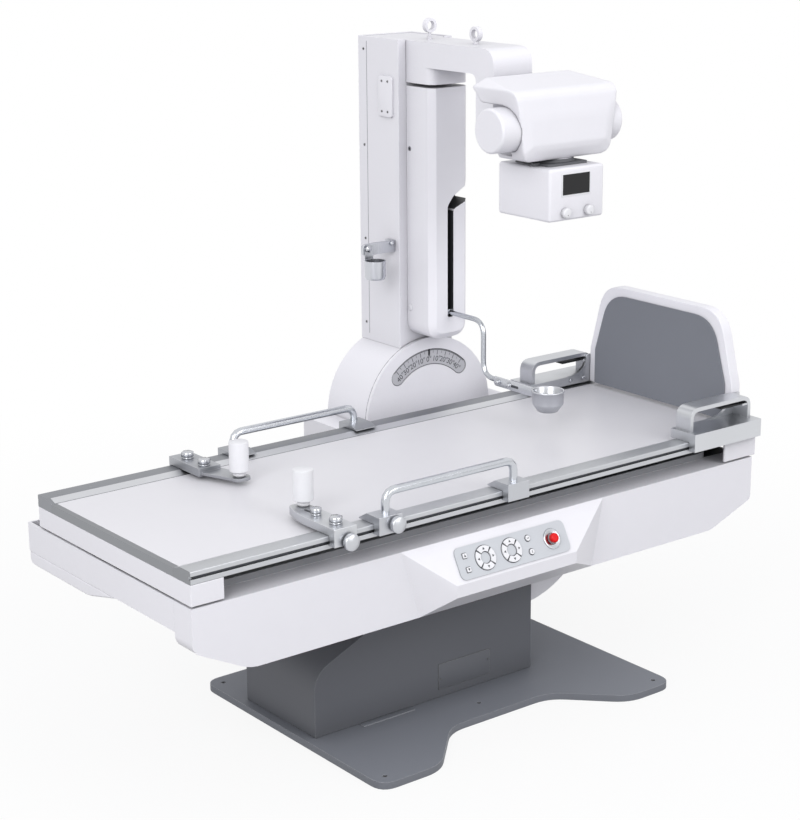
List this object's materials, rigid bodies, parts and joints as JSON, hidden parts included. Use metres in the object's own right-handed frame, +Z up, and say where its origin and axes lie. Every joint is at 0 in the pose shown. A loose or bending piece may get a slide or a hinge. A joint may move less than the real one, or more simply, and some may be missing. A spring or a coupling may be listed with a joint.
{
  "type": "radiography table",
  "caption": "Tilting radiography and fluoroscopy table on a pedestal, with sliding tabletop, travelling tube column, tube head, compressor, footrest and clamp-on handles.",
  "frame": {"origin": "on the floor, under the middle of the tabletop's width and near the middle of the pedestal", "axes": "+X along the table to the foot end, +Y to the column side, +Z up"},
  "size_m": [1.97, 1.241, 1.859],
  "materials": {
    "white_paint": "satin",
    "white_casting": "satin",
    "white_shell": "satin",
    "base_paint": "satin",
    "drive_steel": "satin",
    "rail_aluminium": "satin",
    "top_laminate": "satin",
    "detector_black": "matte",
    "panel_grey": "satin",
    "key_white": "satin",
    "stop_red": "gloss",
    "pad_grey": "matte",
    "post_white": "matte",
    "lever_black": "satin"
  },
  "bodies": {
    "base": {"floor_plate": "base_paint", "pedestal_cover": "base_paint", "pedestal_frame": "drive_steel", "tilt_motor": "drive_steel"},
    "pinion": {"drive_pinion": "drive_steel"},
    "roller": {"support_roller": "drive_steel"},
    "tilt_carriage": {"tilt_sector": "white_paint", "carriage_plate": "drive_steel"},
    "table_body": {"body_tray": "white_paint", "head_block_cover": "white_shell", "front_skirt": "white_shell", "control_panel": "panel_grey"},
    "stop_button": {"estop_button": "stop_red"},
    "key_square_upper": {"key_square_upper": "key_white"},
    "key_square_lower": {"key_square_lower": "key_white"},
    "key_round_upper": {"key_round_upper": "key_white"},
    "key_round_lower": {"key_round_lower": "key_white"},
    "tilt_pad_right": {"tilt_pad_right": "key_white"},
    "tilt_pad_up": {"tilt_pad_up": "key_white"},
    "tilt_pad_left": {"tilt_pad_left": "key_white"},
    "tilt_pad_down": {"tilt_pad_down": "key_white"},
    "travel_pad_right": {"travel_pad_right": "key_white"},
    "travel_pad_up": {"travel_pad_up": "key_white"},
    "travel_pad_left": {"travel_pad_left": "key_white"},
    "travel_pad_down": {"travel_pad_down": "key_white"},
    "tabletop": {"tabletop_panel": "top_laminate", "front_rail": "rail_aluminium", "rear_rail": "rail_aluminium", "head_end_trim": "rail_aluminium", "head_end_cover": "white_shell", "foot_end_cover": "white_shell"},
    "column_base": {"column_carriage": "white_paint", "image_detector": "detector_black", "disc_plate": "white_paint"},
    "column": {"column_drum": "white_paint", "column_mast": "white_paint", "compressor_housing": "white_shell", "cup_bar": "rail_aluminium"},
    "cup_holder": {"hanging_cup": "rail_aluminium"},
    "lift": {"lift_column": "white_paint", "tube_arm": "white_casting"},
    "tube_head": {"tube_housing": "white_casting", "tube_hood": "white_shell"},
    "collimator": {"collimator": "white_casting"},
    "knob_left": {"collimator_knob_left": "key_white"},
    "knob_right": {"collimator_knob_right": "key_white"},
    "compressor": {"compressor_arm": "rail_aluminium"},
    "pressure_cup": {"compressor_cup": "rail_aluminium"},
    "handle_front": {"side_handle_front": "rail_aluminium"},
    "handle_rear": {"side_handle_rear": "rail_aluminium"},
    "rest_front": {"shoulder_rest_front": "rail_aluminium", "shoulder_post_front": "post_white"},
    "rest_rear": {"shoulder_rest_rear": "rail_aluminium", "shoulder_post_rear": "post_white"},
    "footrest": {"footrest_board": "white_shell", "footrest_pad": "pad_grey", "footrest_bracket_front": "rail_aluminium", "footrest_bracket_rear": "rail_aluminium"},
    "lever_front": {"footrest_lever_front": "lever_black"},
    "lever_rear": {"footrest_lever_rear": "lever_black"}
  },
  "joints": [
    {"name": "table_tilt", "type": "hinge", "parent": "base", "child": "tilt_carriage", "pos_m": [0.395, 0.04, 0.508], "axis": [0, 1, 0], "range_deg": [-15, 90]},
    {"name": "pinion_spin", "type": "hinge", "parent": "base", "child": "pinion", "pos_m": [0.09319, 0.04, 0.33375], "axis": [0, 1, 0], "range_deg": [-960, 165]},
    {"name": "roller_spin", "type": "hinge", "parent": "base", "child": "roller", "pos_m": [0.33448, 0.04, 0.16479], "axis": [0, 1, 0], "range_deg": [-960, 165]},
    {"name": "body_shift", "type": "slide", "parent": "tilt_carriage", "child": "table_body", "axis": [1, 0, 0], "range_m": [-0.303, 0.053]},
    {"name": "tabletop_slide", "type": "slide", "parent": "table_body", "child": "tabletop", "axis": [0, 1, 0], "range_m": [-0.09, 0.09]},
    {"name": "column_travel", "type": "slide", "parent": "table_body", "child": "column_base", "axis": [1, 0, 0], "range_m": [-0.9, 0.05]},
    {"name": "column_tilt", "type": "hinge", "parent": "column_base", "child": "column", "pos_m": [0.557, 0.66, 0.62], "axis": [0, 1, 0], "range_deg": [-40, 40]},
    {"name": "cup_swing", "type": "hinge", "parent": "column", "child": "cup_holder", "pos_m": [0.34, 0.59, 1.168], "axis": [0, 1, 0], "range_deg": [-5, 60]},
    {"name": "arm_lift", "type": "slide", "parent": "column", "child": "lift", "axis": [0, 0, 1], "range_m": [0, 0.4]},
    {"name": "head_turn", "type": "hinge", "parent": "lift", "child": "tube_head", "pos_m": [0.557, 0.1, 1.594], "axis": [0, 1, 0], "range_deg": [-90, 90]},
    {"name": "collimator_turn", "type": "hinge", "parent": "tube_head", "child": "collimator", "pos_m": [0.557, 0, 1.41], "axis": [0, 0, 1], "range_deg": [-45, 45]},
    {"name": "knob_left_turn", "type": "hinge", "parent": "collimator", "child": "knob_left", "pos_m": [0.51, -0.118, 1.3605], "axis": [0, 1, 0], "range_deg": [-90, 90]},
    {"name": "knob_right_turn", "type": "hinge", "parent": "collimator", "child": "knob_right", "pos_m": [0.598, -0.118, 1.3605], "axis": [0, 1, 0], "range_deg": [-90, 90]},
    {"name": "compressor_slide", "type": "slide", "parent": "column", "child": "compressor", "axis": [0, 0, 1], "range_m": [0, 0.32]},
    {"name": "cup_reach", "type": "slide", "parent": "compressor", "child": "pressure_cup", "axis": [0, 1, 0], "range_m": [-0.03, 0.02]},
    {"name": "handle_front_slide", "type": "slide", "parent": "tabletop", "child": "handle_front", "axis": [1, 0, 0], "range_m": [-0.05, 0.55]},
    {"name": "handle_rear_slide", "type": "slide", "parent": "tabletop", "child": "handle_rear", "axis": [1, 0, 0], "range_m": [-0.09, 0.55]},
    {"name": "rest_front_slide", "type": "slide", "parent": "tabletop", "child": "rest_front", "axis": [1, 0, 0], "range_m": [-0.35, 0.04]},
    {"name": "rest_rear_slide", "type": "slide", "parent": "tabletop", "child": "rest_rear", "axis": [1, 0, 0], "range_m": [-0.35, 0.08]},
    {"name": "footrest_slide", "type": "slide", "parent": "tabletop", "child": "footrest", "axis": [1, 0, 0], "range_m": [-0.1, 0]},
    {"name": "lever_front_squeeze", "type": "hinge", "parent": "footrest", "child": "lever_front", "pos_m": [0.992, -0.343, 0.77], "axis": [0, 1, 0], "range_deg": [0, 4], "stiffness_Nm_per_rad": 3, "springref_deg": -2.86},
    {"name": "lever_rear_squeeze", "type": "hinge", "parent": "footrest", "child": "lever_rear", "pos_m": [0.992, 0.343, 0.77], "axis": [0, 1, 0], "range_deg": [0, 4], "stiffness_Nm_per_rad": 3, "springref_deg": -2.86},
    {"name": "stop_press", "type": "slide", "parent": "table_body", "child": "stop_button", "axis": [0, 0.8742, -0.4856], "range_m": [0, 0.0035]},
    {"name": "key_square_upper_press", "type": "slide", "parent": "table_body", "child": "key_square_upper", "axis": [0, 0.8742, -0.4856], "range_m": [0, 0.0014], "stiffness_N_per_m": 400, "springref_m": -0.0005},
    {"name": "key_square_lower_press", "type": "slide", "parent": "table_body", "child": "key_square_lower", "axis": [0, 0.8742, -0.4856], "range_m": [0, 0.0014], "stiffness_N_per_m": 400, "springref_m": -0.0005},
    {"name": "key_round_upper_press", "type": "slide", "parent": "table_body", "child": "key_round_upper", "axis": [0, 0.8742, -0.4856], "range_m": [0, 0.0014], "stiffness_N_per_m": 400, "springref_m": -0.0005},
    {"name": "key_round_lower_press", "type": "slide", "parent": "table_body", "child": "key_round_lower", "axis": [0, 0.8742, -0.4856], "range_m": [0, 0.0014], "stiffness_N_per_m": 400, "springref_m": -0.0005},
    {"name": "tilt_pad_right_press", "type": "slide", "parent": "table_body", "child": "tilt_pad_right", "axis": [0, 0.8742, -0.4856], "range_m": [0, 0.0014], "stiffness_N_per_m": 400, "springref_m": -0.0005},
    {"name": "tilt_pad_up_press", "type": "slide", "parent": "table_body", "child": "tilt_pad_up", "axis": [0, 0.8742, -0.4856], "range_m": [0, 0.0014], "stiffness_N_per_m": 400, "springref_m": -0.0005},
    {"name": "tilt_pad_left_press", "type": "slide", "parent": "table_body", "child": "tilt_pad_left", "axis": [0, 0.8742, -0.4856], "range_m": [0, 0.0014], "stiffness_N_per_m": 400, "springref_m": -0.0005},
    {"name": "tilt_pad_down_press", "type": "slide", "parent": "table_body", "child": "tilt_pad_down", "axis": [0, 0.8742, -0.4856], "range_m": [0, 0.0014], "stiffness_N_per_m": 400, "springref_m": -0.0005},
    {"name": "travel_pad_right_press", "type": "slide", "parent": "table_body", "child": "travel_pad_right", "axis": [0, 0.8742, -0.4856], "range_m": [0, 0.0014], "stiffness_N_per_m": 400, "springref_m": -0.0005},
    {"name": "travel_pad_up_press", "type": "slide", "parent": "table_body", "child": "travel_pad_up", "axis": [0, 0.8742, -0.4856], "range_m": [0, 0.0014], "stiffness_N_per_m": 400, "springref_m": -0.0005},
    {"name": "travel_pad_left_press", "type": "slide", "parent": "table_body", "child": "travel_pad_left", "axis": [0, 0.8742, -0.4856], "range_m": [0, 0.0014], "stiffness_N_per_m": 400, "springref_m": -0.0005},
    {"name": "travel_pad_down_press", "type": "slide", "parent": "table_body", "child": "travel_pad_down", "axis": [0, 0.8742, -0.4856], "range_m": [0, 0.0014], "stiffness_N_per_m": 400, "springref_m": -0.0005}
  ],
  "couplings": [
    {"joint": "body_shift", "follows": "table_tilt", "m_per_rad": -0.19099},
    {"joint": "pinion_spin", "follows": "table_tilt", "ratio": -10.6},
    {"joint": "roller_spin", "follows": "table_tilt", "ratio": -10.6}
  ]
}
